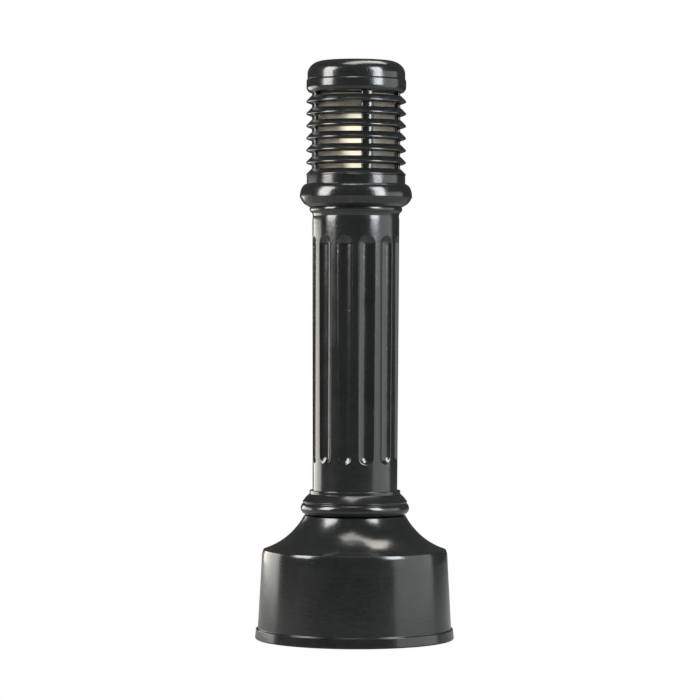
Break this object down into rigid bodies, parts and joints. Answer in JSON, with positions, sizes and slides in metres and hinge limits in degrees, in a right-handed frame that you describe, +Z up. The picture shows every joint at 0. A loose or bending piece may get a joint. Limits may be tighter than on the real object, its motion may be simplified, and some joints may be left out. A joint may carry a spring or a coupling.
{
  "type": "bollard light",
  "caption": "Cast-metal bollard light: bell base, fluted shaft, moulded collar and a louvred lamp head round a frosted lens, under a lift-off domed cap.",
  "frame": {"origin": "centre of the ground ring's underside, on the vertical axis", "axes": "+Z up, -Y towards the front that the picture shows, +X to the right seen from the front"},
  "size_m": [0.368, 0.368, 1.067],
  "materials": {
    "black_paint": "glossy near-black enamel on cast aluminium",
    "frosted_lens": "frosted cream-white glass",
    "gasket_rubber": "matt black",
    "bright_steel": "bright zinc plated",
    "galvanised_steel": "dull galvanised",
    "white_enamel": "gloss white",
    "porcelain": "glazed off-white",
    "lamp_glass": "white coated bulb",
    "ballast_varnish": "dark varnish",
    "drawn_aluminium": "satin",
    "phenolic": "matt black",
    "tinned_copper": "satin",
    "white_insulation": "satin white"
  },
  "bodies": {
    "post": {"anchor_nut_1": "galvanised_steel", "anchor_nut_2": "galvanised_steel", "anchor_nut_3": "galvanised_steel", "anchor_nut_4": "galvanised_steel", "anchor_stud_1": "galvanised_steel", "anchor_stud_2": "galvanised_steel", "anchor_stud_3": "galvanised_steel", "anchor_stud_4": "galvanised_steel", "ballast": "ballast_varnish", "base_casting": "black_paint", "capacitor": "drawn_aluminium", "collar_bolt_1": "bright_steel", "collar_bolt_2": "bright_steel", "collar_bolt_3": "bright_steel", "collar_bolt_4": "bright_steel", "cover_screw_1": "bright_steel", "cover_screw_2": "bright_steel", "cover_screw_3": "bright_steel", "foot_bolt_1": "bright_steel", "foot_bolt_2": "bright_steel", "foot_bolt_3": "bright_steel", "foot_bolt_4": "bright_steel", "gear_tray": "galvanised_steel", "ground_lug": "tinned_copper", "ground_screw": "bright_steel", "head_collar": "black_paint", "ignitor": "phenolic", "lamp": "lamp_glass", "lamp_socket": "porcelain", "lens": "frosted_lens", "louvre_ring_1": "black_paint", "louvre_ring_2": "black_paint", "louvre_ring_3": "black_paint", "louvre_ring_4": "black_paint", "louvre_ring_5": "black_paint", "louvre_ring_6": "black_paint", "louvre_ring_7": "black_paint", "lower_gasket": "gasket_rubber", "shaft_casting": "black_paint", "socket_bracket": "galvanised_steel", "socket_lead_1": "white_insulation", "socket_lead_2": "white_insulation", "terminal_block": "phenolic", "tie_nut_1": "bright_steel", "tie_nut_2": "bright_steel", "tie_nut_3": "bright_steel", "tie_nut_4": "bright_steel", "tie_rod_1": "bright_steel", "tie_rod_2": "bright_steel", "tie_rod_3": "bright_steel", "tie_rod_4": "bright_steel", "top_ring": "black_paint", "tray_screw_1": "bright_steel", "tray_screw_2": "bright_steel", "upper_gasket": "gasket_rubber"},
    "cap": {"cap_cover": "black_paint", "reflector_plate": "white_enamel", "reflector_screw": "bright_steel"}
  },
  "joints": [
    {"name": "cap_lift", "type": "slide", "parent": "post", "child": "cap", "axis": [0, 0, 1], "range_m": [0, 0.12]}
  ]
}
